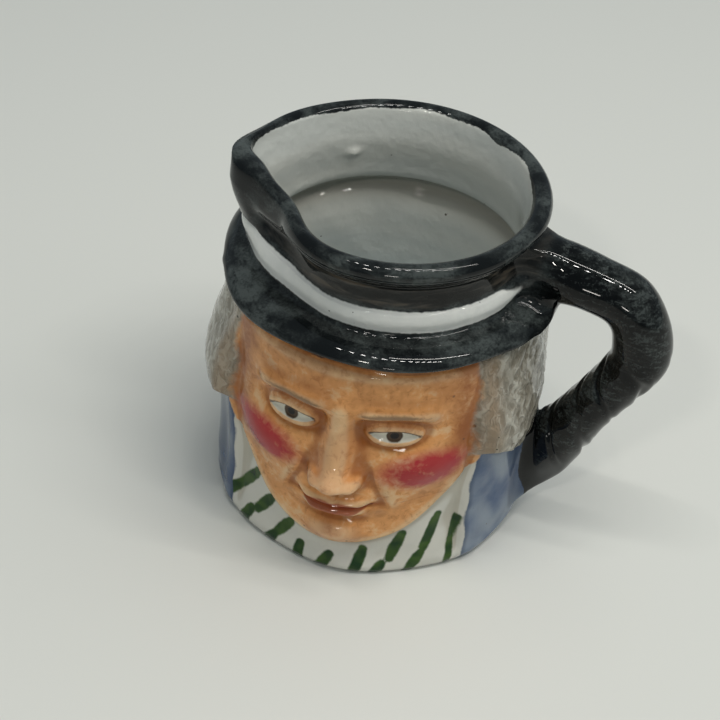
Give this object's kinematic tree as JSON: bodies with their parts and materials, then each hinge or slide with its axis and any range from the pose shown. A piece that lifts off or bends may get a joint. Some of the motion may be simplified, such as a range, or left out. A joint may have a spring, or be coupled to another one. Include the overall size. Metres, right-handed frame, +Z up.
{
  "type": "toby jug",
  "caption": "Small glazed toby jug: a hollow head in a brimmed hat, with a pinched spout and a twisted loop handle, cast in one piece.",
  "frame": {"origin": "middle of the flat underside of the base", "axes": "+Z up, the face looks along -Y turned about 5 degrees towards the handle, the handle stands out along +X, the spout along -X"},
  "size_m": [0.0727, 0.0583, 0.0607],
  "materials": {
    "glazed_earthenware": "hand-painted under a clear gloss glaze"
  },
  "bodies": {
    "root": {"toby_jug": "glazed_earthenware"}
  },
  "joints": []
}
